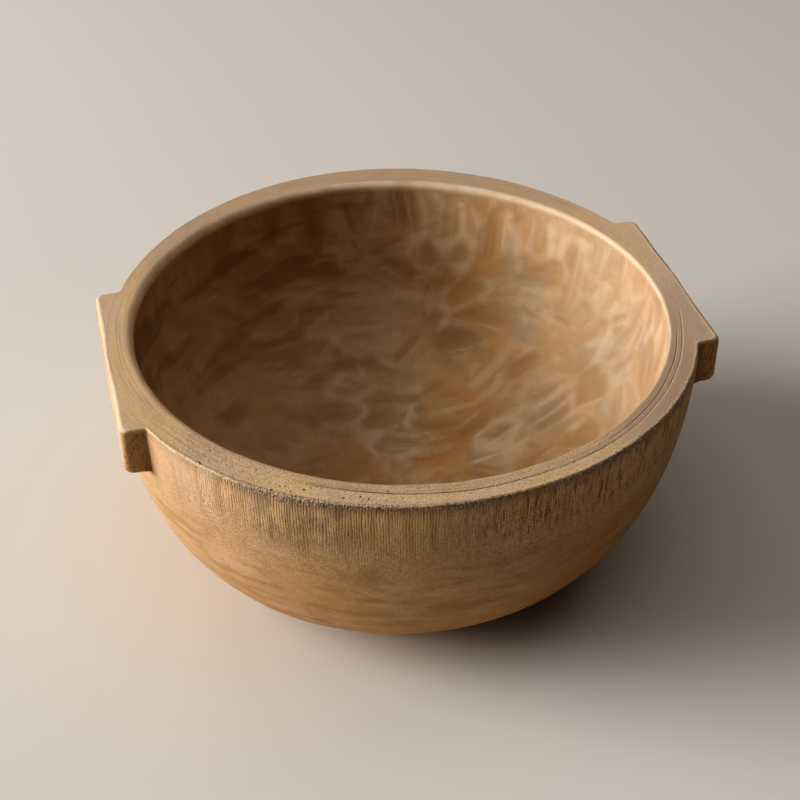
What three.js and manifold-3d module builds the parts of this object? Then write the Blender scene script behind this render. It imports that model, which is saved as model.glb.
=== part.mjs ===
// A bowl carved from one billet of wood, with a flat lug left standing on each side of its rim.
// Millimetres, +Z up. The origin is the centre of the flat base, on the surface the bowl rests on.
// The lugs lie on the X axis, and the rim, the lugs, the wall and the base are one continuous piece.

import Module from 'manifold-3d';
import * as THREE from 'three';
import { mergeVertices } from 'three/addons/utils/BufferGeometryUtils.js';

const wasm = await Module();
wasm.setup();

// Driving dimensions
const HEIGHT = 135;
const RIM_RADIUS = 149.5; // mean outer radius at the rim
const RIM_LOBE = 1.3; // the hand-cut outline swells and dips by this much, three times round
const BASE_RADIUS = 57; // flat the bowl stands on
const MOUTH_RADIUS = 133.5; // mean inner radius at the rim
const MOUTH_OVAL = 1.8; // the mouth is longer on one diagonal and shorter across it by this much
const MOUTH_OVAL_ANGLE = -0.48; // where the mouth is longest, in radians from +X
const FLOOR_THICKNESS = 18;

const RIM_ROUND = 1.5; // worn outer edge of the rim
const LIP_ROUND = 3; // rounded inner edge of the rim

const LUG_REACH = 150; // from the axis to a lug's flat outer face
const LUG_LENGTH = 118;
const LUG_HEIGHT = 26.5;
const LUG_OFFSET = -4; // the lugs sit this far off the X axis, along Y
const LUG_CORNER = 4; // rounding of a lug's two outer corners
const LUG_FILLET = 5; // hollow corner where a lug's end runs into the wall
const LUG_BEVEL = 1.2;
const LUG_ROOT = 125; // a lug's block starts here, inside the wall

// How full the two curved profiles are: 2 and 2 would be a plain ellipse
const WALL_FULLNESS = { across: 2.63, down: 2.16 };
const HOLLOW_FULLNESS = { across: 3, down: 2.3 };

const TURN_STEPS = 80;
const WALL_STEPS = 12;
const ROUND_STEPS = 4;
const QUARTER_TURN = Math.PI / 2;

// The lobes reach out RIM_LOBE further at +Y than at -Y, so the body is set back to centre its outline.
const BODY_OFFSET = -RIM_LOBE;

// Points of a superellipse quarter, from its widest point down to where it lies flat.
function bowlCurve(centreRadius, radius, topZ, depth, fullness) {
  const points = [];
  for (let step = 0; step <= WALL_STEPS; step += 1) {
    const t = (QUARTER_TURN * step) / WALL_STEPS;
    const across = step === WALL_STEPS ? 0 : Math.cos(t) ** (2 / fullness.across);
    const down = Math.sin(t) ** (2 / fullness.down);
    points.push(new THREE.Vector2(centreRadius + (radius - centreRadius) * across, topZ - depth * down));
  }
  return points;
}

// Points of a quarter circle from one angle to the other.
function quarterRound(centreX, centreY, radius, fromAngle, toAngle) {
  const arc = new THREE.EllipseCurve(centreX, centreY, radius, radius, fromAngle, toAngle, toAngle < fromAngle);
  return arc.getPoints(ROUND_STEPS);
}

// Turns a profile about Z, then pushes each vertex in or out to follow the hand-cut outline.
function turned(profile, outline) {
  const geometry = new THREE.LatheGeometry(profile, TURN_STEPS);
  geometry.rotateX(QUARTER_TURN);
  const position = geometry.attributes.position;
  for (let i = 0; i < position.count; i += 1) {
    const x = position.getX(i);
    const y = position.getY(i);
    const stretch = outline(Math.atan2(y, x));
    position.setXY(i, x * stretch, y * stretch);
  }
  geometry.translate(0, BODY_OFFSET, 0);
  return geometry;
}

function wallOutline(angle) {
  return 1 - (RIM_LOBE / RIM_RADIUS) * Math.sin(3 * angle);
}

function mouthOutline(angle) {
  return 1 + (MOUTH_OVAL / MOUTH_RADIUS) * Math.cos(2 * (angle - MOUTH_OVAL_ANGLE));
}

// The outside of the bowl as a solid: flat base, curved wall, worn edge, flat rim.
function bodyGeometry() {
  const shoulder = HEIGHT - RIM_ROUND;
  const wall = bowlCurve(BASE_RADIUS, RIM_RADIUS, shoulder, shoulder, WALL_FULLNESS).reverse();
  const edge = quarterRound(RIM_RADIUS - RIM_ROUND, shoulder, RIM_ROUND, 0, QUARTER_TURN).slice(1);
  const profile = [new THREE.Vector2(0, 0), ...wall, ...edge, new THREE.Vector2(0, HEIGHT)];
  return turned(profile, wallOutline);
}

// The inside of the bowl as a solid to cut away, flared at the top by the rounded lip.
function hollowGeometry() {
  const lipZ = HEIGHT - LIP_ROUND;
  const clearZ = HEIGHT + LIP_ROUND;
  const wall = bowlCurve(0, MOUTH_RADIUS, lipZ, lipZ - FLOOR_THICKNESS, HOLLOW_FULLNESS).reverse();
  const lip = quarterRound(MOUTH_RADIUS + LIP_ROUND, lipZ, LIP_ROUND, Math.PI, QUARTER_TURN).slice(1);
  const above = [new THREE.Vector2(MOUTH_RADIUS + LIP_ROUND, clearZ), new THREE.Vector2(0, clearZ)];
  return turned([...wall, ...lip, ...above], mouthOutline);
}

// One lug, on the +X side: a flat-faced block with rounded outer corners and hollow inner ones.
function lugGeometry() {
  const half = LUG_LENGTH / 2;
  const wallX = Math.sqrt(RIM_RADIUS ** 2 - (half + LUG_FILLET) ** 2);
  const filletX = wallX + LUG_FILLET;
  const outline = new THREE.Shape();
  outline.moveTo(LUG_ROOT, -half - LUG_FILLET);
  outline.lineTo(wallX, -half - LUG_FILLET);
  outline.absarc(filletX, -half - LUG_FILLET, LUG_FILLET, Math.PI, QUARTER_TURN, true);
  outline.lineTo(LUG_REACH - LUG_CORNER, -half);
  outline.absarc(LUG_REACH - LUG_CORNER, -half + LUG_CORNER, LUG_CORNER, -QUARTER_TURN, 0, false);
  outline.lineTo(LUG_REACH, half - LUG_CORNER);
  outline.absarc(LUG_REACH - LUG_CORNER, half - LUG_CORNER, LUG_CORNER, 0, QUARTER_TURN, false);
  outline.lineTo(filletX, half);
  outline.absarc(filletX, half + LUG_FILLET, LUG_FILLET, -QUARTER_TURN, -Math.PI, true);
  outline.lineTo(LUG_ROOT, half + LUG_FILLET);
  outline.closePath();

  const geometry = new THREE.ExtrudeGeometry(outline, {
    depth: LUG_HEIGHT - 2 * LUG_BEVEL,
    curveSegments: ROUND_STEPS,
    bevelSize: LUG_BEVEL,
    bevelOffset: -LUG_BEVEL,
    bevelThickness: LUG_BEVEL,
    bevelSegments: 2,
  });
  geometry.translate(0, 0, HEIGHT - LUG_HEIGHT + LUG_BEVEL);
  return geometry;
}

// A closed geometry as a solid that can be joined and cut.
function solid(geometry) {
  const bare = geometry.clone();
  bare.deleteAttribute('normal');
  bare.deleteAttribute('uv');
  const merged = mergeVertices(bare);
  const index = Array.from(merged.index.array);
  const triangles = [];
  for (let i = 0; i < index.length; i += 3) {
    const [a, b, c] = index.slice(i, i + 3);
    if (a !== b && b !== c && c !== a) triangles.push(a, b, c);
  }
  return new wasm.Manifold(
    new wasm.Mesh({
      numProp: 3,
      vertProperties: merged.attributes.position.array,
      triVerts: Uint32Array.from(triangles),
    }),
  );
}

function geometryOf(manifold) {
  const mesh = manifold.getMesh();
  const geometry = new THREE.BufferGeometry();
  geometry.setAttribute('position', new THREE.BufferAttribute(mesh.vertProperties, 3));
  geometry.setIndex(new THREE.BufferAttribute(mesh.triVerts, 1));
  geometry.computeVertexNormals();
  return geometry;
}

// The two lugs are the same block, the second one turned half way round.
function carvedBowl() {
  const lug = lugGeometry();
  const rightLug = solid(lug.clone().translate(0, LUG_OFFSET, 0));
  const leftLug = solid(lug.clone().rotateZ(Math.PI).translate(0, LUG_OFFSET, 0));
  const carved = solid(bodyGeometry()).add(rightLug).add(leftLug).subtract(solid(hollowGeometry()));
  const wood = new THREE.MeshStandardMaterial({ color: 0x9a6f45, roughness: 0.75, metalness: 0 });
  const mesh = new THREE.Mesh(geometryOf(carved), wood);
  mesh.name = 'carved_bowl';
  return mesh;
}

const bowl = new THREE.Group();
bowl.add(carvedBowl());

export default bowl;
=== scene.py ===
# The looks of a bowl carved from one billet of wood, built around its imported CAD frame.
# Metres, +Z up, in the frame of the CAD part: the origin is the centre of the base, the lugs lie on X,
# and the front is -Y. The grain of the billet runs along Y.

import math

import bpy
import numpy as np
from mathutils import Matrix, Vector


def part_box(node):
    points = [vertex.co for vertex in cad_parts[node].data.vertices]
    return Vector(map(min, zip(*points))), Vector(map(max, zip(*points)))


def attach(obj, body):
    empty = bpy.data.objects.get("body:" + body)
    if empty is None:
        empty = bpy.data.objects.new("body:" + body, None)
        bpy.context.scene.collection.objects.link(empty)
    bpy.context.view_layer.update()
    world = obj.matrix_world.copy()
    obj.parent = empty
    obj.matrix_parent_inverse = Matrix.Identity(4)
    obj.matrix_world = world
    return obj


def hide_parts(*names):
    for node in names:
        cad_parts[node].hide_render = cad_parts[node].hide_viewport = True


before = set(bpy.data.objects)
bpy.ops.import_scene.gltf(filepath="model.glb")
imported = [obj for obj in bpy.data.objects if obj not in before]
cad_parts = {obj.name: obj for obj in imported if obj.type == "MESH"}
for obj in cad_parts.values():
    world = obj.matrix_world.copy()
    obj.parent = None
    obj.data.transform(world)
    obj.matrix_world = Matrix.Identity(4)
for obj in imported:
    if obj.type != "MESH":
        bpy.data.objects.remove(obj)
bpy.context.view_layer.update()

NODE = "carved_bowl"
MM = 0.001
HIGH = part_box(NODE)[1]
HEIGHT = HIGH.z
LUG_REACH = HIGH.x
RIM_RADIUS = HIGH.y

# The form, as the CAD part has it
RIM_LOBE = 1.3 * MM
BASE_RADIUS = 57 * MM
MOUTH_RADIUS = 133.5 * MM
MOUTH_OVAL = 1.8 * MM
MOUTH_OVAL_ANGLE = -0.48
FLOOR_THICKNESS = 18 * MM
LUG_HALF_LENGTH = 59 * MM
LUG_HEIGHT = 26.5 * MM
LUG_OFFSET = -4 * MM
WALL_ACROSS, WALL_DOWN = 2.63, 2.16
HOLLOW_ACROSS, HOLLOW_DOWN = 3.0, 2.3
CENTRE_Y = -RIM_LOBE

# The finish that only the visual model has
LUG_CORNER = 4 * MM
SOFT_NECK, SHARP_NECK = 11 * MM, 1.5 * MM  # hollow corners at a lug's two ends, where it meets the wall
NECK_INSET = 1 * MM  # the hollow corners start this far inside the wall
LUG_FADE = 4 * MM  # a lug counts as fully a lug where it stands out this far
LUG_UNDER_ROUND = 3 * MM
LUG_TOP_ROUND = 2.8 * MM
LEDGE_SPREAD = 4 * MM  # away from the lugs, the rows of their underside spread this far up and down
RIM_ROUND = 1.3 * MM
LIP_WIDTH, LIP_CHANGE, LIP_NARROWEST = 3.1 * MM, 1.6 * MM, -0.7
LIP_SLOPE = 0.8
FRONT = -math.pi / 2
TURN = 2.0 * math.pi

# How finely the form is divided
ARC_POINTS, FACE_POINTS = 12, 30
CURVE_POINTS, CIRCLE_POINTS = 4001, 14401
END_CROWDING, END_SPREAD = 6.0, 0.03
TINY = 1e-12
COLUMNS = 500
ROWS = {
    "base": 5,
    "wall": 50,
    "ledge": 6,
    "under": 5,
    "face": 14,
    "edge": 6,
    "rim": 22,
    "lip": 7,
    "hollow": 72,
}


# ---------------------------------------------------------------- helpers for the shape


def smooth_step(edge0, edge1, x):
    """0 at edge0, 1 at edge1 and smooth between them. Either may be the larger."""
    t = np.clip((x - edge0) / (edge1 - edge0), 0.0, 1.0)
    return t * t * (3.0 - 2.0 * t)


def lattice_noise(points, cell, seed):
    """Smooth noise between -1 and 1 at an array of points, its bumps about one cell across."""
    size, clear_of_zero = 32, 100.0
    table = np.random.default_rng(seed).uniform(-1.0, 1.0, (size, size, size))
    scaled = points / cell + clear_of_zero
    low = np.floor(scaled).astype(int)
    part = scaled - low
    part = part * part * part * (part * (part * 6.0 - 15.0) + 10.0)
    total = np.zeros(points.shape[:-1])
    for corner in range(8):
        step = np.array([corner & 1, corner >> 1 & 1, corner >> 2 & 1])
        at = (low + step) % size
        weight = np.prod(np.where(step == 1, part, 1.0 - part), axis=-1)
        total += weight * table[at[..., 0], at[..., 1], at[..., 2]]
    return total


def turned_angle(angle, centre):
    """How far an angle is from a centre, the short way round."""
    return (angle - centre + math.pi) % TURN - math.pi


def sector(angle, centre, full, fade):
    """1 within an angle of the centre, fading to 0 over a further angle."""
    return 1.0 - smooth_step(full, full + fade, np.abs(turned_angle(angle, centre)))


# ---------------------------------------------------------------- the base form, in rows and columns


def lug_outline(turn):
    """One lug in plan as angles and radii about the body's centre. turn is 0 for +X and pi for -X."""
    half = LUG_HALF_LENGTH
    points = []
    for sign, neck in ((-1.0, SOFT_NECK), (1.0, SHARP_NECK)):
        wall_x = math.sqrt(RIM_RADIUS**2 - (half + neck) ** 2) - NECK_INSET
        side = []
        for a in np.linspace(math.pi, math.pi / 2, ARC_POINTS):
            side.append((wall_x + neck * (1.0 + math.cos(a)), half + neck * (1.0 - math.sin(a))))
        corner_x, corner_y = LUG_REACH - LUG_CORNER, half - LUG_CORNER
        for a in np.linspace(math.pi / 2, 0.0, ARC_POINTS):
            side.append((corner_x + LUG_CORNER * math.cos(a), corner_y + LUG_CORNER * math.sin(a)))
        side += [(LUG_REACH, y) for y in np.linspace(corner_y, 0.0, FACE_POINTS)[1:]]
        side = [(x, sign * y) for x, y in side]
        points += side if sign < 0 else side[::-1]
    xy = np.array(points) * math.cos(turn)
    xy[:, 1] += LUG_OFFSET - CENTRE_Y
    angle = turned_angle(np.arctan2(xy[:, 1], xy[:, 0]), turn)
    return angle, np.hypot(xy[:, 0], xy[:, 1])


LUGS = {turn: lug_outline(turn) for turn in (0.0, math.pi)}


def lug_radius(angle):
    """How far out the lugs reach at each angle, 0 where there is no lug."""
    reach = np.zeros_like(angle)
    for turn, (angles, radii) in LUGS.items():
        from_middle = turned_angle(angle, turn)
        reach = np.maximum(reach, np.interp(from_middle, angles, radii, left=0.0, right=0.0))
    return reach


def column_angles():
    """Angles of the columns, set closer where the lugs' ends stand out from the wall."""
    fine = np.linspace(-math.pi, math.pi, CIRCLE_POINTS)
    density = np.ones_like(fine)
    for turn, (angles, _radii) in LUGS.items():
        for first in (ARC_POINTS - 1, -ARC_POINTS - 1):
            lug_end = turn + (angles[first] + angles[first + 1]) / 2.0
            density += END_CROWDING * np.exp(-((turned_angle(fine, lug_end) / END_SPREAD) ** 2))
    total = np.concatenate([[0.0], np.cumsum((density[1:] + density[:-1]) / 2.0)])
    return np.interp(np.arange(COLUMNS) / COLUMNS * total[-1], total, fine)


def wall_stretch(angle):
    """How much the wall's hand-cut outline swells or dips at an angle."""
    return 1.0 - RIM_LOBE / RIM_RADIUS * np.sin(3.0 * angle)


def mouth_radius(angle):
    """Inner radius at the rim, longer on one diagonal."""
    return MOUTH_RADIUS + MOUTH_OVAL * np.cos(2.0 * (angle - MOUTH_OVAL_ANGLE))


def superellipse(inner, outer, top, bottom, across, down):
    """A quarter curve from (outer, top) down to (inner, bottom): lengths along it, radii, heights."""
    t = np.linspace(0.0, math.pi / 2, CURVE_POINTS)
    radius = inner + (outer - inner) * np.abs(np.cos(t)) ** (2.0 / across)
    radius[-1] = inner
    height = top - (top - bottom) * np.sin(t) ** (2.0 / down)
    length = np.concatenate([[0.0], np.cumsum(np.hypot(np.diff(radius), np.diff(height)))])
    return length, radius, height


def wall_radius(height):
    """Mean outer radius of the wall at a height."""
    u = np.clip((HEIGHT - height) / HEIGHT, 0.0, 1.0)
    return BASE_RADIUS + (RIM_RADIUS - BASE_RADIUS) * (1.0 - u**WALL_DOWN) ** (1.0 / WALL_ACROSS)


def shares(part):
    """Even shares up to 1 for the rows of a part, as a column."""
    return np.linspace(0.0, 1.0, ROWS[part] + 1)[1:, None]


def base_form(angle):
    """Radii and heights of every row at every column, from the base's centre to the floor's centre."""
    stretch = wall_stretch(angle)[None, :]
    mouth = mouth_radius(angle)[None, :]
    ledge_z = HEIGHT - LUG_HEIGHT
    lug = lug_radius(angle)[None, :]
    stand_out = np.clip(lug - wall_radius(ledge_z) * stretch, 0.0, None)
    is_lug = smooth_step(0.0, LUG_FADE, stand_out)
    away = 1.0 - is_lug
    parts = []

    def add(radius, height):
        radius, height = np.broadcast_arrays(radius, height)
        parts.append((radius, height))

    # The flat base, from its centre out
    add(BASE_RADIUS * stretch * shares("base"), 0.0)

    # The wall, up to the height of the lugs' underside
    length, radius, height = superellipse(BASE_RADIUS, RIM_RADIUS, HEIGHT, 0.0, WALL_ACROSS, WALL_DOWN)
    length, radius, height = length[-1] - length[::-1], radius[::-1], height[::-1]
    wall_top = ledge_z - LEDGE_SPREAD * away
    along = shares("wall") * np.interp(wall_top, height, length)
    add(np.interp(along, length, radius) * stretch, np.interp(along, length, height))

    # The lugs' underside, from the wall out
    under = np.minimum(LUG_UNDER_ROUND, stand_out / 2.0)
    ledge_out = np.clip(stand_out - under, 0.0, None)
    s = shares("ledge")
    z = wall_top + (ledge_z - wall_top) * s
    add(wall_radius(z) * stretch + ledge_out * s, z)

    # The rounding of their lower edge
    face_z = ledge_z + under * is_lug + LEDGE_SPREAD * away
    s = shares("under")
    rise = s * away + (1.0 - np.cos(s * math.pi / 2)) * is_lug
    z = ledge_z + (face_z - ledge_z) * rise
    reach = np.clip(lug - wall_radius(face_z) * stretch, 0.0, None)
    add(wall_radius(z) * stretch + ledge_out + (reach - ledge_out) * np.sin(s * math.pi / 2), z)

    # Their faces, with the wall between them, and the rounded upper edge
    top_round = RIM_ROUND + (LUG_TOP_ROUND - RIM_ROUND) * is_lug
    face_end_z = HEIGHT - top_round
    z = face_z + (face_end_z - face_z) * shares("face")
    add(np.maximum(wall_radius(z) * stretch, lug), z)

    edge_r = np.maximum(wall_radius(face_end_z) * stretch, lug)
    quarter = shares("edge") * math.pi / 2
    add(edge_r - top_round * (1.0 - np.cos(quarter)), face_end_z + top_round * np.sin(quarter))

    # The flat rim and the lip inside it
    lip_width = (LIP_WIDTH - LIP_CHANGE * np.cos(angle - LIP_NARROWEST))[None, :]
    lip_z = HEIGHT - LIP_SLOPE * lip_width
    rim_start, rim_end = edge_r - top_round, mouth + lip_width
    add(rim_start + (rim_end - rim_start) * shares("rim"), HEIGHT)

    quarter = shares("lip") * math.pi / 2
    add(rim_end - lip_width * np.sin(quarter), lip_z + (HEIGHT - lip_z) * np.cos(quarter))

    # The hollow, down to the floor's centre
    depth = HEIGHT - LIP_SLOPE * LIP_WIDTH - FLOOR_THICKNESS
    length, radius, height = superellipse(0.0, MOUTH_RADIUS, depth, 0.0, HOLLOW_ACROSS, HOLLOW_DOWN)
    along = shares("hollow") * length[-1]
    risen = np.interp(along, length, height) / depth
    hollow_z = FLOOR_THICKNESS + risen * (lip_z - FLOOR_THICKNESS)
    add(np.interp(along, length, radius) * mouth / MOUTH_RADIUS, hollow_z)
    return np.concatenate([r for r, _z in parts]), np.concatenate([z for _r, z in parts]), is_lug


def row_spans():
    """Which rows of the grid each part takes."""
    ends = np.cumsum(list(ROWS.values()))
    return {part: slice(end - count, end) for (part, count), end in zip(ROWS.items(), ends)}


def grid_normals(points):
    """Outward normals of the grid from its own neighbours."""
    around = np.roll(points, -1, axis=1) - np.roll(points, 1, axis=1)
    along = np.empty_like(points)
    along[1:-1] = points[2:] - points[:-2]
    along[0] = points[1] - points[0]
    along[-1] = points[-1] - points[-2]
    normal = np.cross(around, along)
    normal /= np.linalg.norm(normal, axis=-1, keepdims=True) + TINY
    return normal


# ---------------------------------------------------------------- the carver's marks, cut into the form


GOUGE_SEED = 11
GOUGE_RINGS = 10
GOUGE_FIRST, GOUGE_STEP = 19 * MM, 19 * MM
GOUGE_APART, FEWEST_IN_RING = 24 * MM, 4
GOUGE_STRAY, GOUGE_STRAY_AROUND = 7 * MM, 0.35  # down the wall, and round it as a share of the spacing
GOUGE_DEPTH = (0.75, 1.35)  # millimetres, as are the four ranges below
TOP_HALF_LENGTH, TOP_HALF_WIDTH = (26, 40), (8.5, 11.5)
LOW_HALF_LENGTH, LOW_HALF_WIDTH = (19, 36), (9, 15)
TOP_SLANT, LOW_SLANT = 0.16, 0.45
GOUGE_BLEND = 0.1 * MM
TINT_BLEND = 0.26 * MM
RIDGE_WIDTH = 0.36 * MM
STREAK_WIDTH, STREAK_LENGTHS = 3.2 * MM, 9.0


def row_step(points, row):
    """Length from one row of the grid to the next, on the first column."""
    return np.linalg.norm(points[row, 0] - points[row - 1, 0])


def down_the_hollow(points, hollow):
    """Length down the hollow's side from the lip to each of its rows, as a column."""
    typical_row = hollow.start + 30
    return (np.arange(hollow.stop - hollow.start) + 1.0)[:, None] * row_step(points, typical_row)


def gouge_strokes(points, normals, rng):
    """Strokes over the hollow: centre, ways along and across, half length, half width and depth.

    The top ring runs down the wall, and the rings below it run more or less along X, across the grain.
    """
    rows, columns = points.shape[:2]
    step = row_step(points, rows // 2)
    strokes = []
    for ring in range(GOUGE_RINGS):
        is_top = ring == 0
        middle = GOUGE_FIRST + GOUGE_STEP * ring
        radius = np.hypot(*points[min(int(middle / step), rows - 1), :, :2].T).mean()
        count = max(FEWEST_IN_RING, round(TURN * radius / GOUGE_APART))
        for k in range(count):
            i = int(np.clip((middle + rng.uniform(-1.0, 1.0) * GOUGE_STRAY) / step, 1, rows - 2))
            stray = rng.uniform(-GOUGE_STRAY_AROUND, GOUGE_STRAY_AROUND)
            j = int(columns * (k + stray + 0.5 * (ring % 2)) / count) % columns
            down = points[i + 1, j] - points[i - 1, j]
            down /= np.linalg.norm(down)
            around = np.cross(normals[i, j], down)
            level = math.atan2(around[0], down[0])
            slant = rng.normal(0.0, TOP_SLANT) if is_top else level + rng.normal(0.0, LOW_SLANT)
            along = math.cos(slant) * down + math.sin(slant) * around
            half_length = rng.uniform(*(TOP_HALF_LENGTH if is_top else LOW_HALF_LENGTH)) * MM
            half_width = rng.uniform(*(TOP_HALF_WIDTH if is_top else LOW_HALF_WIDTH)) * MM
            depth = rng.uniform(*GOUGE_DEPTH) * MM
            across = np.cross(normals[i, j], along)
            strokes.append((points[i, j], along, across, half_length, half_width, depth))
    return strokes


def soften(values, times):
    """Values of the grid averaged with their neighbours a few times over."""
    for _ in range(times):
        values = (np.roll(values, 1, axis=1) + 2.0 * values + np.roll(values, -1, axis=1)) / 4.0
        values[1:-1] = (values[:-2] + 2.0 * values[1:-1] + values[2:]) / 4.0
    return values


def carve_hollow(points, normals):
    """Depth of the gouge marks and, for the material, their ridges, tints and streaks."""
    rng = np.random.default_rng(GOUGE_SEED)
    shape = points.shape[:2]
    best, second = np.zeros(shape), np.full(shape, -MM)
    soft, weight_sum = np.ones(shape), np.ones(shape)
    tint, streak = np.zeros(shape), np.zeros(shape)
    for number, stroke in enumerate(gouge_strokes(points, normals, rng)):
        centre, along, across, half_length, half_width, depth = stroke
        shade = rng.uniform(-1.0, 1.0)
        away = points - centre
        u, v = away @ along, away @ across
        cut = depth * (1.0 - (u / half_length) ** 2 - (v / half_width) ** 2)
        near = cut > -MM
        higher = cut > best
        second = np.where(higher, best, np.maximum(second, cut))
        best = np.maximum(best, cut)
        soft[near] += np.exp(cut[near] / GOUGE_BLEND)
        weight = np.exp(cut[near] / TINT_BLEND)
        own_slice = np.full(near.sum(), number * 20 * MM)
        lines = np.stack([u[near] / STREAK_LENGTHS, v[near], own_slice], axis=-1)
        weight_sum[near] += weight
        tint[near] += weight * shade
        streak[near] += weight * lattice_noise(lines, STREAK_WIDTH, seed=12)
    ridge = soften(np.exp(-(best - second) / RIDGE_WIDTH), 1)
    return GOUGE_BLEND * np.log(soft), ridge, soften(tint / weight_sum, 2), streak / weight_sum


# The lines scribed round the rim, by their distance out from the mouth
LINE_IN, SECOND_LINE_IN = 7.2 * MM, 4.6 * MM
LINE_HALF, LINE_DEPTH = 0.32 * MM, 0.3 * MM
LINE_WANDER = 0.5 * MM
BAND_DROP, BAND_EDGE = 0.16 * MM, 0.6 * MM


def scribed_strength(angle):
    """Where the line scribed round the rim shows: the front and the right."""
    return sector(angle, -1.2, 0.74, 0.32)


def carve_rim(points, angle, inward):
    """Depth cut from the rim: a slightly lower band inside the scribed line, and gentle hollows."""
    strength = scribed_strength(angle)[None, :]
    inside_line = 1.0 - smooth_step(LINE_IN - BAND_EDGE, LINE_IN + BAND_EDGE, inward)
    band = BAND_DROP * strength * inside_line
    gentle = 0.22 * MM * (1.0 + lattice_noise(points, 24 * MM, seed=22))
    small = 0.05 * MM * (1.0 + lattice_noise(points, 3.0 * MM, seed=23))
    return band + gentle + small


def carve_wall(points, is_lug):
    """Depth cut from the outside: faint facets of the drawknife, unevenness and a worn upper edge."""
    tall = points * np.array([1.0, 1.0, 0.4])
    facets = 0.32 * MM * (1.0 + lattice_noise(tall, 26 * MM, seed=31))
    uneven = 0.09 * MM * (1.0 + lattice_noise(points, 8.0 * MM, seed=32))
    below = HEIGHT - points[..., 2]
    worn = (1.0 - smooth_step(2.0 * MM, 5.0 * MM, below)) * (1.0 - 0.6 * is_lug)
    chips = 0.22 * MM * worn * (1.0 + lattice_noise(points, 3.4 * MM, seed=33))
    fade_at_base = smooth_step(0.0, 6.0 * MM, points[..., 2])
    return (facets + uneven + chips) * fade_at_base


def carve(points, normals, angle, is_lug, inward, span):
    """How deep the form is cut at every point, and the marks that the gouge leaves for the material."""
    hollow, edge, lip = span["hollow"], span["edge"], span["lip"]
    outside, top = slice(span["wall"].start, edge.stop), slice(span["rim"].start, lip.stop)
    depth = np.zeros(points.shape[:2])
    marks = {name: np.zeros(points.shape[:2]) for name in ("ridge", "tint", "streak")}

    cut, ridge, tint, streak = carve_hollow(points[hollow], normals[hollow])
    down = down_the_hollow(points, hollow)
    depth[hollow] = cut * (0.15 + 0.85 * smooth_step(0.0, 12 * MM, down))
    marks["ridge"][hollow] = ridge * smooth_step(2 * MM, 10 * MM, down)
    marks["tint"][hollow], marks["streak"][hollow] = tint, streak

    # The lip and the worn edge each blend the cuts on their two sides.
    depth[top] = carve_rim(points[top], angle, inward[top])
    lip_fade = np.linspace(1.0, 0.0, ROWS["lip"])[:, None]
    depth[lip] = depth[lip] * lip_fade + depth[hollow.start] * (1.0 - lip_fade)
    depth[outside] = carve_wall(points[outside], is_lug)
    edge_fade = np.linspace(0.0, 1.0, ROWS["edge"])[:, None]
    depth[edge] = depth[edge] * (1.0 - edge_fade) + depth[span["rim"].start] * edge_fade
    return depth, marks


def zone_marks(points, normals, radii, angle, is_lug, span):
    """Marks of the zones: hollow, lip, rim and lug ends, and how far a point is from the rim's edge."""
    hollow, edge, lip = span["hollow"], span["edge"], span["lip"]
    top = slice(span["rim"].start, lip.stop)
    from_edge = radii[edge.stop - 1][None, :] - radii
    below = HEIGHT - points[..., 2]
    marks = {name: np.zeros(radii.shape) for name in ("hollow", "lip", "rim", "lug_end")}
    marks["hollow"][hollow] = 1.0
    marks["lip"][lip] = 1.0
    marks["lip"][hollow] = 1.0 - smooth_step(0.0, 5 * MM, down_the_hollow(points, hollow))
    marks["rim"][top] = 1.0
    marks["rim"][edge.start + 2 : edge.stop] = 1.0
    marks["from_edge"] = np.where(below > MM / 1000.0, -below, from_edge)
    marks["from_edge"][top] = from_edge[top]
    near_edge = 1.0 - smooth_step(0.0, 2.4 * MM, from_edge)
    marks["lug_brow"] = is_lug * smooth_step(2.6 * MM, 0.6 * MM, below) * near_edge
    lug_end = smooth_step(0.55, 0.9, np.abs(normals[..., 1])) * (lug_radius(angle) > 0.0)
    faces = slice(span["under"].start, edge.start)
    marks["lug_end"][faces] = lug_end[faces]
    return marks


def marks_round_the_bowl(angle):
    """Marks that change only with the angle: where round the bowl each kind of wear is found."""
    from_end_grain = np.minimum(np.abs(turned_angle(angle, FRONT)), np.abs(turned_angle(angle, -FRONT)))
    grey_right, grey_back = sector(angle, -0.55, 0.3, 0.35), sector(angle, -FRONT + 0.1, 0.6, 0.7)
    return {
        "around": turned_angle(2.0 * angle, 2.0 * FRONT) / 2.0 * RIM_RADIUS,
        "scribed": scribed_strength(angle),
        "scribed_twice": sector(angle, -0.72, 0.2, 0.22),
        "stippled": 0.25 + 0.75 * sector(angle, FRONT + 0.25, 1.05, 0.7),
        "rasped": 1.0 - smooth_step(0.85, 1.28, from_end_grain),
        "band": 0.2 + 0.8 * sector(angle, FRONT + 0.1, 0.62, 0.6),
        "stain": sector(angle, FRONT - 0.56, 0.08, 0.13),
        "dashes": 0.12 + 0.88 * sector(angle, FRONT + 0.53, 0.3, 0.45),
        "pitted": sector(angle, FRONT - 0.68, 0.25, 0.3),
        "dull_lip": sector(angle, FRONT, 0.9, 0.4),
        "grey_side": np.maximum(grey_right, 0.7 * grey_back),
    }


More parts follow.
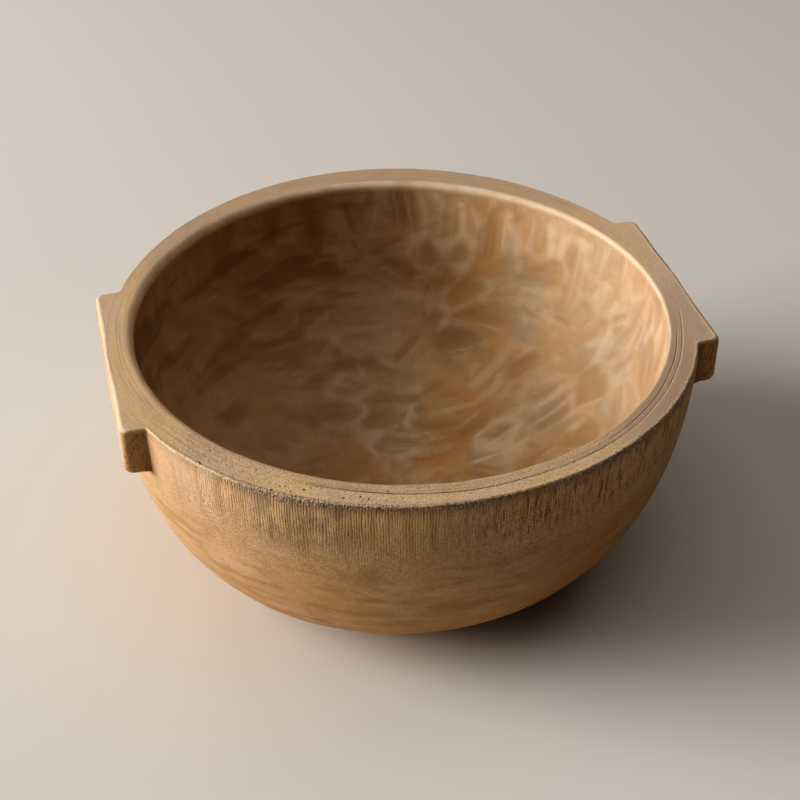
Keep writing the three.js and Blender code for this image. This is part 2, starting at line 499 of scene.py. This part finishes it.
def finished_form():
    """The grid of points with every mark cut in, and the marks that the material reads."""
    angle = column_angles()
    radii, heights, is_lug = base_form(angle)
    x, y = radii * np.cos(angle), radii * np.sin(angle) + CENTRE_Y
    points = np.stack([x, y, heights], axis=-1)
    normals = grid_normals(points)
    wander = LINE_WANDER * lattice_noise(points, 26 * MM, seed=21)
    inward = radii - mouth_radius(angle)[None, :] + wander

    # The hollow's last row is one point, the floor's centre, which the mesh makes for itself.
    span = row_spans()
    last = span["hollow"].stop - 1
    span["hollow"] = slice(span["hollow"].start, last)

    depth, marks = carve(points, normals, angle, is_lug, inward, span)
    marks |= zone_marks(points, normals, radii, angle, is_lug, span)
    marks["inward"] = inward
    for name, values in marks_round_the_bowl(angle).items():
        marks[name] = np.broadcast_to(values, radii.shape)
    carved = points - normals * depth[..., None]
    return carved[:last], {name: values[:last] for name, values in marks.items()}


def make_mesh(points, marks, name):
    """One closed mesh from the grid: a fan at the base, quads between rows and a fan at the floor."""
    rows, columns = points.shape[:2]
    base_centre = (0.0, CENTRE_Y, 0.0)
    floor_centre = points[-1].mean(axis=0)
    vertices = np.concatenate([points.reshape(-1, 3), [base_centre, floor_centre]])
    row, column = np.meshgrid(np.arange(rows - 1), np.arange(columns), indexing="ij")
    beside = (column + 1) % columns
    a, b = row * columns + column, row * columns + beside
    quads = np.stack([a, b, b + columns, a + columns], axis=-1).reshape(-1, 4)
    first, after = np.arange(columns), (np.arange(columns) + 1) % columns
    last = (rows - 1) * columns
    base_fan = np.stack([after, first, np.full(columns, rows * columns)], axis=-1)
    floor_fan = np.stack([last + first, last + after, np.full(columns, rows * columns + 1)], axis=-1)
    mesh = bpy.data.meshes.new(name)
    mesh.from_pydata(vertices.tolist(), [], quads.tolist() + base_fan.tolist() + floor_fan.tolist())
    mesh.polygons.foreach_set("use_smooth", np.ones(len(mesh.polygons), dtype=bool))
    for mark, values in marks.items():
        layer = mesh.attributes.new(mark, "FLOAT", "POINT")
        values = np.concatenate([values.reshape(-1), [values[0].mean(), values[-1].mean()]])
        layer.data.foreach_set("value", values.astype(np.float32))
    mesh.update()
    return mesh


# ---------------------------------------------------------------- helpers for the material


# Places of a colour mix's sockets, which share their names with those of other kinds of mix
MIX_FACTOR, MIX_A, MIX_B, MIX_RESULT = 0, 6, 7, 2


class Nodes:
    """Short ways to build one material's node tree. A value may be a number, a colour or a socket."""

    def __init__(self, material):
        material.use_nodes = True
        self.tree = material.node_tree
        self.shader = self.tree.nodes["Principled BSDF"]
        self.place = self.add("ShaderNodeTexCoord").outputs["Object"]

    def add(self, kind):
        """A new node of a kind."""
        return self.tree.nodes.new(kind)

    def put(self, value, socket):
        """Links a socket to an input, or sets the input to a number or a colour."""
        if isinstance(value, bpy.types.NodeSocket):
            self.tree.links.new(value, socket)
        else:
            socket.default_value = value

    def mark(self, name):
        """A mark that the mesh carries, by its name."""
        node = self.add("ShaderNodeAttribute")
        node.attribute_name = name
        return node.outputs["Fac"]

    def math(self, operation, a, b=0.0):
        """One step of arithmetic, by Blender's name for it."""
        node = self.add("ShaderNodeMath")
        node.operation = operation
        self.put(a, node.inputs[0])
        self.put(b, node.inputs[1])
        return node.outputs[0]

    def times(self, *values):
        """The values multiplied together."""
        total = values[0]
        for value in values[1:]:
            total = self.math("MULTIPLY", total, value)
        return total

    def plus(self, *values):
        """The values added together."""
        total = values[0]
        for value in values[1:]:
            total = self.math("ADD", total, value)
        return total

    def ramp(self, value, low, high, to_low=0.0, to_high=1.0):
        """Smoothly from to_low at low to to_high at high."""
        node = self.add("ShaderNodeMapRange")
        node.interpolation_type = "SMOOTHSTEP"
        flip = low > high
        self.put(value, node.inputs["Value"])
        node.inputs["From Min"].default_value = high if flip else low
        node.inputs["From Max"].default_value = low if flip else high
        node.inputs["To Min"].default_value = to_high if flip else to_low
        node.inputs["To Max"].default_value = to_low if flip else to_high
        return node.outputs["Result"]

    def mix(self, factor, a, b):
        """Colour a where the factor is 0, and colour b where it is 1."""
        node = self.add("ShaderNodeMix")
        node.data_type = "RGBA"
        self.put(factor, node.inputs[MIX_FACTOR])
        self.put(a, node.inputs[MIX_A])
        self.put(b, node.inputs[MIX_B])
        return node.outputs[MIX_RESULT]

    def over(self, colour, layer, *amounts):
        """A colour under a layer of another, which is as strong as the amounts multiplied together."""
        return self.mix(self.times(*amounts), colour, layer)

    def stretched(self, across, along_y, up):
        """The place on the object in units of the three given lengths."""
        node = self.add("ShaderNodeVectorMath")
        node.operation = "MULTIPLY"
        self.put(self.place, node.inputs[0])
        node.inputs[1].default_value = (1.0 / across, 1.0 / along_y, 1.0 / up)
        return node.outputs[0]

    def combined(self, x, y, z):
        """A vector from its x, y and z."""
        node = self.add("ShaderNodeCombineXYZ")
        for value, socket in zip((x, y, z), node.inputs):
            self.put(value, socket)
        return node.outputs[0]

    def noise(self, vector, detail=2.0, roughness=0.5):
        """Smooth noise, mostly between 0.3 and 0.7, with bumps about one unit of the vector across."""
        node = self.add("ShaderNodeTexNoise")
        self.put(vector, node.inputs["Vector"])
        node.inputs["Scale"].default_value = 1.0
        node.inputs["Detail"].default_value = detail
        node.inputs["Roughness"].default_value = roughness
        return node.outputs["Fac"]

    def cells(self, vector):
        """How far the nearest of many scattered points is, about one to each unit of the vector."""
        node = self.add("ShaderNodeTexVoronoi")
        self.put(vector, node.inputs["Vector"])
        node.inputs["Scale"].default_value = 1.0
        return node.outputs["Distance"]

    def separate(self, vector):
        """The x, y and z of a vector."""
        node = self.add("ShaderNodeSeparateXYZ")
        self.put(vector, node.inputs[0])
        return node.outputs


def rgb(r, g, b):
    """An opaque colour."""
    return (r, g, b, 1.0)


TAN = rgb(0.54, 0.36, 0.205)
ORANGE = rgb(0.54, 0.32, 0.155)
RUSSET = rgb(0.48, 0.27, 0.12)
BROWN = rgb(0.36, 0.21, 0.10)
GREYISH = rgb(0.42, 0.31, 0.21)
UMBER = rgb(0.33, 0.25, 0.17)
PALE = rgb(0.74, 0.58, 0.42)
GOLD = rgb(0.72, 0.495, 0.285)
ROSY = rgb(0.69, 0.48, 0.33)
PINKISH = rgb(0.60, 0.40, 0.27)
MAUVE = rgb(0.45, 0.325, 0.235)
UMBER_BROWN = rgb(0.29, 0.17, 0.085)
PAINTED_SHADE_BROWN = rgb(0.27, 0.145, 0.055)
DUSTY = rgb(0.60, 0.46, 0.34)
DUSKY = rgb(0.22, 0.15, 0.095)
DARK = rgb(0.19, 0.105, 0.05)
STAIN = rgb(0.165, 0.12, 0.087)
LIGHT = rgb(0.67, 0.44, 0.24)
SHADE_CHESTNUT = rgb(0.52, 0.285, 0.125)
END_BROWN = rgb(0.44, 0.265, 0.135)
ASH = rgb(0.52, 0.43, 0.33)

RING_AXIS_X, RING_AXIS_Z = 10 * MM, 190 * MM
RING_STEP = 8 * MM
RASP_STEP, RASP_WANDER = 1.3 * MM, 2.2
RIM_LINE_STEP, RIM_LINE_LENGTH = 0.9 * MM, 50 * MM
SCRATCH_STEP, SCRATCH_LENGTH = 0.9 * MM, 16 * MM


# ---------------------------------------------------------------- the wood, zone by zone


def ring_streaks(n):
    """Growth rings round an axis along Y above the bowl: 0 to 1, darker wood at 1."""
    x, _y, z = n.separate(n.place)
    off_x = n.plus(x, -RING_AXIS_X)
    off_z = n.plus(z, -RING_AXIS_Z)
    distance = n.math("SQRT", n.plus(n.times(off_x, off_x), n.times(off_z, off_z)))
    wander = n.times(n.noise(n.stretched(70 * MM, 200 * MM, 70 * MM), 1.0), 2.0)
    rings = n.plus(n.times(distance, 1.0 / RING_STEP), wander)
    wave = n.math("SINE", n.times(rings, TURN))
    shown = n.ramp(n.noise(n.stretched(14 * MM, 60 * MM, 14 * MM), 3.0), 0.42, 0.68)
    return n.times(n.ramp(wave, -0.2, 1.0), shown)


def fibres(n):
    """Fine fibres along Y, which show as stipple on end grain."""
    return n.noise(n.stretched(0.9 * MM, 9 * MM, 0.9 * MM), detail=2.0, roughness=0.6)


def patches(n, size):
    """Soft patches of about a size, a little longer along the grain."""
    return n.noise(n.stretched(size, size * 1.4, size), detail=3.0, roughness=0.55)


def hollow_colour(n):
    """Gouged inside: mottled orange, tan and greyish facets with pale crests between them, with painted
    shade on the left and painted light on the right.
    """
    x, y, _z = n.separate(n.place)
    colour = n.mix(n.ramp(patches(n, 38 * MM), 0.36, 0.62), ORANGE, TAN)
    near_middle = n.ramp(n.math("ABSOLUTE", x), 80 * MM, 20 * MM)
    colour = n.over(colour, DUSTY, n.ramp(y, 60 * MM, 120 * MM), near_middle, 0.6)
    colour = n.over(colour, GREYISH, n.ramp(patches(n, 27 * MM), 0.46, 0.68, 0.0, 0.8))
    level_patches = n.noise(n.stretched(32 * MM, 15 * MM, 15 * MM), 3.0)
    colour = n.over(colour, RUSSET, n.ramp(level_patches, 0.54, 0.7, 0.0, 0.6))
    colour = n.over(colour, BROWN, n.ramp(n.mark("tint"), 0.0, -0.9, 0.0, 0.5))
    colour = n.over(colour, PALE, n.ramp(n.mark("tint"), 0.2, 0.9, 0.0, 0.3))
    colour = n.over(colour, BROWN, n.ramp(n.mark("streak"), 0.1, 0.6, 0.0, 0.35))
    colour = n.over(colour, PALE, n.ramp(n.mark("streak"), -0.15, -0.6, 0.0, 0.3))
    crest, in_patches = n.ramp(n.mark("ridge"), 0.25, 0.8), n.ramp(patches(n, 30 * MM), 0.42, 0.62)
    # Painted shade: the pale crests fade towards the left (-X) side.
    crests_shaded_left = n.ramp(x, -90 * MM, 10 * MM, 0.45, 1.0)
    colour = n.over(colour, PALE, crest, in_patches, crests_shaded_left, 0.62)
    colour = n.over(colour, BROWN, ring_streaks(n), 0.3)
    # Painted shade: the left (-X) side of the hollow is darkened towards umber.
    colour = n.over(colour, UMBER, n.ramp(x, 30 * MM, -90 * MM, 0.0, 0.5))
    # Dark level smudges, laid on towards the left (-X) side as painted shade.
    smudges_and_shade = n.ramp(n.noise(n.stretched(52 * MM, 52 * MM, 13 * MM), 3.0), 0.5, 0.64)
    colour = n.over(colour, DUSKY, smudges_and_shade, n.ramp(x, 60 * MM, -40 * MM, 0.0, 0.5))
    # Painted light: the right (+X) side of the hollow is paled a little.
    colour = n.over(colour, PALE, n.ramp(x, 60 * MM, 130 * MM, 0.0, 0.12))
    return n.over(colour, BROWN, n.ramp(fibres(n), 0.35, 0.75, 0.0, 0.12))


def wall_colour(n):
    """Outside: tan above, made warmer and deeper below and darker low on the right front as painted
    shade, with level smears, ring streaks and fine fibres.
    """
    x, y, z = n.separate(n.place)
    # Painted shade: the wall turns darker and warmer towards the bottom.
    colour = n.mix(n.ramp(z, 15 * MM, 100 * MM), SHADE_CHESTNUT, n.mix(0.5, ORANGE, TAN))
    colour = n.over(colour, PINKISH, n.ramp(patches(n, 34 * MM), 0.48, 0.66, 0.0, 0.6))
    colour = n.over(colour, BROWN, n.ramp(patches(n, 21 * MM), 0.5, 0.7, 0.0, 0.6))
    smears = n.noise(n.stretched(38 * MM, 38 * MM, 7 * MM), 4.0, 0.6)
    below_rim = n.ramp(z, 112 * MM, 80 * MM)
    colour = n.over(colour, BROWN, n.ramp(smears, 0.5, 0.64), below_rim, 0.75)
    colour = n.over(colour, LIGHT, n.ramp(smears, 0.46, 0.3), below_rim, 0.4)
    colour = n.over(colour, BROWN, ring_streaks(n), 0.4)
    # Painted shade: the lower wall on the right (+X) and front side is darkened towards a deep brown.
    painted_shade_right = n.times(n.ramp(x, -40 * MM, 70 * MM), n.ramp(y, 40 * MM, -60 * MM, 0.3, 1.0))
    colour = n.over(colour, PAINTED_SHADE_BROWN, painted_shade_right, n.ramp(z, 122 * MM, 84 * MM), 0.6)
    grain = n.noise(n.stretched(0.8 * MM, 3 * MM, 0.8 * MM), 3.0, 0.65)
    colour = n.over(colour, LIGHT, n.ramp(grain, 0.47, 0.33, 0.0, 0.4))
    return n.over(colour, BROWN, n.ramp(grain, 0.5, 0.68, 0.0, 0.6))


def below_edge(n):
    """How far down the wall from the rim, and below 0 on the rim."""
    return n.times(n.mark("from_edge"), -1.0)


def wall_noise(n, across, down, layer, detail=2.0, roughness=0.5):
    """Noise laid on the wall in cells of a given width and height. Each layer number has its own."""
    around, below = n.times(n.mark("around"), 1.0 / across), n.times(n.mark("from_edge"), -1.0 / down)
    return n.noise(n.combined(around, below, layer), detail, roughness)


def rasped(n):
    """Where the rasp has been, on the end grain from the rim down: 0 to 1."""
    low = n.plus(below_edge(n), n.times(wall_noise(n, 12 * MM, 30 * MM, layer=3.0), 26 * MM))
    return n.times(n.ramp(low, 60 * MM, 26 * MM), n.mark("rasped"))


def rasp_lines(n):
    """Upright lines left by the rasp, broken into short lengths: 0 to 1."""
    wander = wall_noise(n, 6 * MM, 24 * MM, layer=0.0)
    strokes = n.plus(n.times(n.mark("around"), 1.0 / RASP_STEP), n.times(wander, RASP_WANDER))
    lines = n.ramp(n.math("SINE", n.times(strokes, TURN)), -0.6, 0.9)
    breaks = wall_noise(n, 1.7 * MM, 4.5 * MM, layer=4.0, detail=3.0, roughness=0.6)
    return n.times(lines, n.ramp(breaks, 0.36, 0.6, 0.15, 1.0), rasped(n))


def cross_hatch(n):
    """Short level scratches that cross the rasp lines lower down: 0 to 1."""
    below = below_edge(n)
    reach = n.times(n.ramp(below, 6 * MM, 20 * MM), n.ramp(below, 66 * MM, 34 * MM))
    dents = wall_noise(n, 2.6 * MM, 0.9 * MM, layer=2.0)
    return n.times(n.ramp(dents, 0.46, 0.66), reach, n.mark("rasped"))


def dark_dashes(n):
    """Dark upright dashes of torn grain, mostly at the front right: 0 to 1."""
    below = below_edge(n)
    reach = n.times(n.ramp(below, 2 * MM, 6 * MM), n.ramp(below, 36 * MM, 20 * MM), n.mark("rasped"))
    tears = wall_noise(n, 2.0 * MM, 11 * MM, layer=8.0, detail=3.0)
    return n.times(n.ramp(tears, 0.5, 0.66), reach, n.mark("dashes"))


def grey_stain(n):
    """A weathered grey patch under the rim, a little left of the front: 0 to 1."""
    blotch = n.ramp(n.noise(n.stretched(9 * MM, 9 * MM, 14 * MM), 3.0), 0.36, 0.6)
    return n.times(n.mark("stain"), n.ramp(below_edge(n), 40 * MM, 24 * MM), blotch)


def edge_band(n):
    """A rough grey band a few millimetres wide under the outer edge, strongest at the front: 0 to 1."""
    below = below_edge(n)
    ragged = n.times(n.noise(n.stretched(1.8 * MM, 1.8 * MM, 1.8 * MM), 3.0, 0.75), 7 * MM)
    inside = n.ramp(n.plus(below, ragged), 9.2 * MM, 4.6 * MM)
    onto_rim = n.ramp(n.plus(below, n.times(ragged, 0.4)), 0.2 * MM, 1.8 * MM)
    strong = n.ramp(n.noise(n.stretched(34 * MM, 34 * MM, 60 * MM)), 0.35, 0.58, 0.55, 1.0)
    return n.times(inside, onto_rim, strong, n.mark("band"))


def pits(n):
    """Dark round pits of open grain, a few at the front left: 1 in a pit."""
    near = n.cells(n.stretched(3.2 * MM, 3.2 * MM, 3.2 * MM))
    some = n.ramp(patches(n, 9 * MM), 0.54, 0.62)
    return n.times(n.ramp(near, 0.3, 0.14), some, n.mark("pitted"))


def stipple(n):
    """Fine stipple of open pores, as end grain has."""
    return n.noise(n.stretched(0.8 * MM, 0.95 * MM, 0.8 * MM), 3.0, 0.7)


def scribed_lines(n):
    """Thin dark lines scribed round the rim, broken up a little: 1 in a line."""
    inward = n.mark("inward")
    total = 0.0
    for at, mark in ((LINE_IN, "scribed"), (SECOND_LINE_IN, "scribed_twice")):
        off_line = n.math("ABSOLUTE", n.plus(inward, -at))
        line = n.ramp(off_line, LINE_HALF * 1.6, LINE_HALF * 0.5)
        total = n.plus(total, n.times(line, n.mark(mark)))
    return n.times(total, n.ramp(patches(n, 7 * MM), 0.3, 0.5, 0.45, 1.0))


def rim_colour(n):
    """Flat top: golden stipple outside the scribed line, greyer and smoother inside it."""
    inward, grain = n.mark("inward"), stipple(n)
    colour = n.mix(n.ramp(patches(n, 26 * MM), 0.4, 0.62), GOLD, ROSY)
    x, y, _z = n.separate(n.stretched(RIM_LINE_LENGTH, RIM_LINE_LENGTH, RIM_LINE_LENGTH))
    lines = n.noise(n.combined(n.times(inward, 1.0 / RIM_LINE_STEP), x, y), 3.0)
    colour = n.over(colour, BROWN, n.ramp(lines, 0.5, 0.68, 0.0, 0.4))
    inner = n.ramp(inward, LINE_IN + 0.5 * MM, LINE_IN - 0.3 * MM)
    band = n.mix(n.ramp(lines, 0.4, 0.62), n.mix(0.45, MAUVE, ROSY), n.mix(0.2, MAUVE, BROWN))
    colour = n.over(colour, band, inner, n.mark("scribed"), 0.6)
    colour = n.over(colour, BROWN, n.ramp(grain, 0.49, 0.64, 0.0, 0.6), n.mark("stippled"))
    colour = n.over(colour, PALE, n.ramp(grain, 0.47, 0.36, 0.0, 0.6), n.mark("stippled"))
    colour = n.over(colour, DARK, scribed_lines(n), 0.75)
    colour = n.over(colour, DARK, pits(n), 0.8)
    colour = n.over(colour, PALE, scratches(n), 0.5)
    colour = n.over(colour, MAUVE, n.mark("grey_side"), 0.85)
    right_lug = n.ramp(x, 120 * MM / RIM_LINE_LENGTH, 140 * MM / RIM_LINE_LENGTH, 0.0, 0.25)
    colour = n.over(colour, PALE, right_lug)
    colour = n.over(colour, PALE, n.mark("lug_brow"), 0.6)
    pale_lip = n.times(n.mark("lip"), n.plus(1.0, n.times(n.mark("dull_lip"), -0.9)))
    return n.over(colour, PALE, pale_lip, n.ramp(patches(n, 12 * MM), 0.3, 0.6, 0.2, 0.7))


def worn_flecks(n):
    """Pale flecks where the outer edge of the rim has worn: 1 in a fleck."""
    near_edge = n.ramp(n.math("ABSOLUTE", n.plus(below_edge(n), -0.2 * MM)), 1.3 * MM, 0.4 * MM)
    flecks = n.noise(n.stretched(1.6 * MM, 1.6 * MM, 1.6 * MM), 3.0, 0.7)
    return n.times(near_edge, n.ramp(flecks, 0.48, 0.6))


def scratches(n):
    """Fine slanting scratches across the rim at the front right: 1 in a scratch."""
    x, y, _z = n.separate(n.place)
    across = n.times(n.plus(x, n.times(y, -0.8)), 1.0 / SCRATCH_STEP)
    along = n.times(n.plus(x, y), 1.0 / SCRATCH_LENGTH)
    streaks = n.noise(n.combined(across, along, 5.0), detail=1.0)
    return n.times(n.ramp(streaks, 0.6, 0.68), n.mark("dashes"))


def lug_end_colour(n):
    """Rough end grain, dark brown with a lighter streak, and painted shade where it meets the wall."""
    streaks = n.noise(n.stretched(5 * MM, 30 * MM, 26 * MM), 3.0, 0.6)
    colour = n.mix(n.ramp(streaks, 0.42, 0.6), END_BROWN, ORANGE)
    x, _y, _z = n.separate(n.place)
    # Painted shade: the end face darkens towards the wall it stands out from.
    shade_near_wall = n.ramp(n.math("ABSOLUTE", x), LUG_REACH - 6 * MM, LUG_REACH - 13 * MM)
    colour = n.over(colour, DARK, shade_near_wall, 0.6)
    grit = n.noise(n.stretched(0.9 * MM, 0.9 * MM, 1.6 * MM), 2.0, 0.6)
    return n.over(colour, DARK, n.ramp(grit, 0.48, 0.66, 0.0, 0.7))


def wood_colour(n):
    """The wall with its tool marks, wear and painted glints, and the lug ends, the rim and the hollow
    laid over it.
    """
    colour = wall_colour(n)
    opened = n.mix(n.ramp(patches(n, 24 * MM), 0.45, 0.6), LIGHT, ROSY)
    colour = n.over(colour, opened, rasped(n), 0.6)
    upright = n.ramp(wall_noise(n, 4.5 * MM, 45 * MM, layer=6.0, detail=3.0), 0.45, 0.66)
    colour = n.over(colour, BROWN, upright, rasped(n), 0.6)
    colour = n.over(colour, DARK, n.ramp(below_edge(n), 9 * MM, 2 * MM), n.mark("band"), 0.4)
    line_strength = n.ramp(n.mark("dashes"), 0.0, 0.8, 0.34, 0.85)
    colour = n.over(colour, UMBER_BROWN, rasp_lines(n), line_strength)
    bold = n.ramp(n.mark("dashes"), 0.0, 0.8, 0.6, 1.0)
    colour = n.over(colour, UMBER_BROWN, cross_hatch(n), bold, 0.7)
    specks_and_glints = wall_noise(n, 0.9 * MM, 0.8 * MM, layer=9.0, roughness=0.6)
    colour = n.over(colour, UMBER_BROWN, n.ramp(specks_and_glints, 0.5, 0.64, 0.0, 0.5), bold, rasped(n))
    # Painted highlight: pale gold specks stand for glints on the rasped grain; the dark specks above
    # are grain.
    colour = n.over(colour, GOLD, n.ramp(specks_and_glints, 0.46, 0.34, 0.0, 0.45), rasped(n))
    colour = n.over(colour, DARK, dark_dashes(n), 0.75)
    colour = n.over(colour, STAIN, grey_stain(n), 0.48)
    colour = n.over(colour, lug_end_colour(n), n.mark("lug_end"))
    colour = n.over(colour, rim_colour(n), n.mark("rim"))
    flecks = n.ramp(n.noise(n.stretched(0.8 * MM, 0.8 * MM, 1.4 * MM), 2.0, 0.6), 0.48, 0.62)
    colour = n.over(colour, n.mix(flecks, STAIN, ASH), edge_band(n), 0.85)
    colour = n.over(colour, PALE, worn_flecks(n), 0.55)
    return n.over(colour, hollow_colour(n), n.mark("hollow"))


def wood_height(n):
    """Fine relief in metres, for the bump."""
    rim, hollow = n.mark("rim"), n.mark("hollow")
    outside = n.times(n.plus(1.0, n.times(rim, -1.0)), n.plus(1.0, n.times(hollow, -1.0)))
    dots = n.times(stipple(n), n.mark("stippled"), 0.13 * MM)
    top = n.plus(dots, n.times(pits(n), -0.4 * MM), n.times(scribed_lines(n), -LINE_DEPTH))
    scratch = n.plus(n.times(rasp_lines(n), -0.14 * MM), n.times(cross_hatch(n), -0.1 * MM))
    side = n.plus(scratch, n.times(fibres(n), 0.12 * MM), n.times(dark_dashes(n), -0.25 * MM))
    crumbs = n.noise(n.stretched(1.1 * MM, 1.1 * MM, 1.1 * MM), 3.0, 0.7)
    rough_edge = n.times(edge_band(n), crumbs, 0.9 * MM)
    tool_grain = n.noise(n.stretched(2.2 * MM, 7 * MM, 2.2 * MM), 3.0, 0.6)
    inside = n.times(hollow, tool_grain, 0.14 * MM)
    return n.plus(n.times(rim, top), n.times(outside, side), rough_edge, inside)


def carved_wood():
    """The bowl's one material."""
    material = bpy.data.materials.new("carved_wood")
    n = Nodes(material)
    n.put(wood_colour(n), n.shader.inputs["Base Color"])
    n.put(n.ramp(patches(n, 14 * MM), 0.35, 0.65, 0.56, 0.72), n.shader.inputs["Roughness"])
    n.shader.inputs["Specular IOR Level"].default_value = 0.35
    bump = n.add("ShaderNodeBump")
    bump.inputs["Strength"].default_value = 1.0
    bump.inputs["Distance"].default_value = 1.0
    n.put(wood_height(n), bump.inputs["Height"])
    n.put(bump.outputs["Normal"], n.shader.inputs["Normal"])
    return material


def add_bowl():
    """The bowl, carved and coloured."""
    points, marks = finished_form()
    mesh = make_mesh(points, marks, "bowl_wood")
    mesh.materials.append(carved_wood())
    bowl = bpy.data.objects.new("bowl_wood", mesh)
    bpy.context.scene.collection.objects.link(bowl)
    return bowl


# ---------------------------------------------------------------- stage


LIGHTS = {
    # name: azimuth, elevation (degrees), distance, size (m), power (W), colour
    "window": (169, 14, 3.45, (1.95, 1.5), 171.0, (1.0, 0.97, 0.93)),
    "window_high": (168, 38, 3.45, (1.5, 1.12), 38.0, (1.0, 0.98, 0.95)),
    "overhead": (0, 90, 2.3, (2.3, 2.3), 12.7, (1.0, 0.98, 0.95)),
    "side": (20, 42, 2.3, (1.0, 0.8), 3.0, (1.0, 0.95, 0.88)),
}
FILL_COLOUR, FILL_STRENGTH = rgb(1.0, 0.93, 0.84), 0.07
BACKDROP_COLOUR, BACKDROP_STRENGTH = rgb(1.0, 0.95, 0.89), 0.36
TOE, TOE_STOPS = 0.1, (0.01, 0.03, 0.07, 0.14, 0.25, 0.45, 0.7)
FLOOR_RADIUS, FLOOR_SIDES = 2.6, 120
FLOOR_COLOUR = rgb(0.74, 0.705, 0.66)
CAMERA_AZIMUTH, CAMERA_ELEVATION = math.radians(-14.51), math.radians(37.73)
CAMERA_DISTANCE, CAMERA_LENS = 0.8197, 69.34
CAMERA_AIM = Vector((0.0, -0.0003, 0.0781))


def add_floor():
    """A round pale floor under the bowl."""
    mesh = bpy.data.meshes.new("floor")
    angles = np.linspace(0.0, TURN, FLOOR_SIDES, endpoint=False)
    corners = [(FLOOR_RADIUS * math.cos(a), FLOOR_RADIUS * math.sin(a), 0.0) for a in angles]
    mesh.from_pydata(corners, [], [list(range(FLOOR_SIDES))])
    floor = bpy.data.objects.new("floor", mesh)
    bpy.context.scene.collection.objects.link(floor)
    material = bpy.data.materials.new("floor_pale")
    material.use_nodes = True
    shader = material.node_tree.nodes["Principled BSDF"]
    shader.inputs["Base Color"].default_value = FLOOR_COLOUR
    shader.inputs["Roughness"].default_value = 0.9
    mesh.materials.append(material)


def add_camera():
    """The camera, in front and above, a little to the left."""
    level, up = math.cos(CAMERA_ELEVATION), math.sin(CAMERA_ELEVATION)
    back = Vector((math.sin(CAMERA_AZIMUTH) * level, -math.cos(CAMERA_AZIMUTH) * level, up))
    data = bpy.data.cameras.new("camera")
    data.lens = CAMERA_LENS
    data.clip_start = 0.01
    camera = bpy.data.objects.new("camera", data)
    camera.location = CAMERA_AIM + back * CAMERA_DISTANCE
    camera.rotation_euler = (-back).to_track_quat("-Z", "Y").to_euler()
    bpy.context.scene.collection.objects.link(camera)
    bpy.context.scene.camera = camera


def add_area(name, azimuth, elevation, distance, size, power, colour):
    """A light panel that faces the middle of the bowl's mouth. Azimuth 0 is +X and 90 is +Y."""
    data = bpy.data.lights.new(name, "AREA")
    data.shape = "RECTANGLE"
    data.size, data.size_y = size
    data.energy = power
    data.color = colour
    light = bpy.data.objects.new(name, data)
    a, e = math.radians(azimuth), math.radians(elevation)
    back = Vector((math.cos(a) * math.cos(e), math.sin(a) * math.cos(e), math.sin(e)))
    light.location = back * distance + Vector((0, 0, HEIGHT))
    light.rotation_euler = back.to_track_quat("Z", "Y").to_euler()
    bpy.context.scene.collection.objects.link(light)


def add_surroundings():
    """Dim even light from all round, and a plain pale backdrop where the surroundings are seen."""
    world = bpy.data.worlds.new("world")
    world.use_nodes = True
    tree = world.node_tree
    fill = tree.nodes["Background"]
    fill.inputs["Color"].default_value = FILL_COLOUR
    fill.inputs["Strength"].default_value = FILL_STRENGTH
    backdrop = tree.nodes.new("ShaderNodeBackground")
    backdrop.inputs["Color"].default_value = BACKDROP_COLOUR
    backdrop.inputs["Strength"].default_value = BACKDROP_STRENGTH
    seen = tree.nodes.new("ShaderNodeLightPath")
    either = tree.nodes.new("ShaderNodeMixShader")
    tree.links.new(seen.outputs["Is Camera Ray"], either.inputs[0])
    tree.links.new(fill.outputs[0], either.inputs[1])
    tree.links.new(backdrop.outputs[0], either.inputs[2])
    tree.links.new(either.outputs[0], tree.nodes["World Output"].inputs["Surface"])
    bpy.context.scene.world = world


def set_tone(view):
    """A plain display with a photographic toe, which deepens the shadows and makes them richer."""
    view.view_transform = "Standard"
    view.use_curve_mapping = True
    curve = view.curve_mapping.curves[3]  # the one for all three colours together
    for x in TOE_STOPS:
        curve.points.new(x, x * x / (x + TOE) * (1.0 + TOE))
    view.curve_mapping.update()


add_camera()
add_floor()
for name, light in LIGHTS.items():
    add_area(name, *light)
add_surroundings()
set_tone(bpy.context.scene.view_settings)

bowl = add_bowl()
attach(bowl, "root")
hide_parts(NODE)
